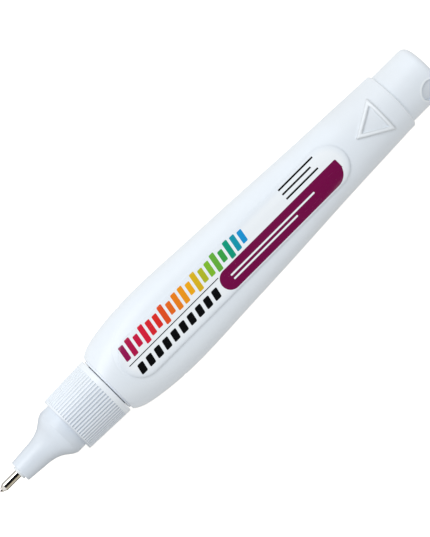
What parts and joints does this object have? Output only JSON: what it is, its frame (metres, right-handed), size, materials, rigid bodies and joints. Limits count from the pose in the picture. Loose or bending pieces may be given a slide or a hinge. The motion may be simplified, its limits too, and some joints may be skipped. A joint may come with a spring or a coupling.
{
  "type": "correction pen",
  "caption": "Flattened squeeze-bottle correction pen with a ribbed screw collar, tapered nozzle, spring-loaded metal point and round tail plug, lying on its back panel.",
  "frame": {"origin": "middle of the flat on the back panel, on the surface that the pen lies on", "axes": "+X along the pen from the writing point to the tail plug, +Z out of the label face"},
  "size_m": [0.1295, 0.0208, 0.0156],
  "materials": {
    "bottle_white": "smooth satin moulding",
    "moulded_white": "smooth satin moulding",
    "washer_rubber": "matt",
    "bright_metal": "bright turned metal",
    "pin_steel": "ground",
    "spring_steel": "drawn wire",
    "ball_steel": "polished"
  },
  "bodies": {
    "barrel": {"barrel": "bottle_white", "tail_plug": "moulded_white"},
    "nozzle": {"nozzle_cone": "moulded_white", "neck_gasket": "washer_rubber", "tip_holder": "moulded_white", "tip_tube": "bright_metal", "spring_retainer": "moulded_white", "valve_spring": "spring_steel"},
    "collar": {"screw_collar": "moulded_white"},
    "pin": {"valve_pin": "pin_steel"},
    "ball": {"agitator_ball": "ball_steel"}
  },
  "joints": [
    {"name": "nozzle_slide", "type": "slide", "parent": "barrel", "child": "nozzle", "axis": [-1, 0, 0], "range_m": [0, 0.005]},
    {"name": "collar_turn", "type": "hinge", "parent": "nozzle", "child": "collar", "pos_m": [-0.04983, 0, 0.00778], "axis": [-1, 0, 0], "range_deg": [0, 900]},
    {"name": "valve_press", "type": "slide", "parent": "nozzle", "child": "pin", "axis": [1, 0, 0], "range_m": [0, 0.00035], "stiffness_N_per_m": 300, "deforming": ["valve_spring"]},
    {"name": "ball_roll", "type": "slide", "parent": "barrel", "child": "ball", "axis": [1, 0, 0], "range_m": [0, 0.066]}
  ],
  "couplings": [
    {"joint": "collar_turn", "follows": "nozzle_slide", "rad_per_m": 3141.6}
  ]
}
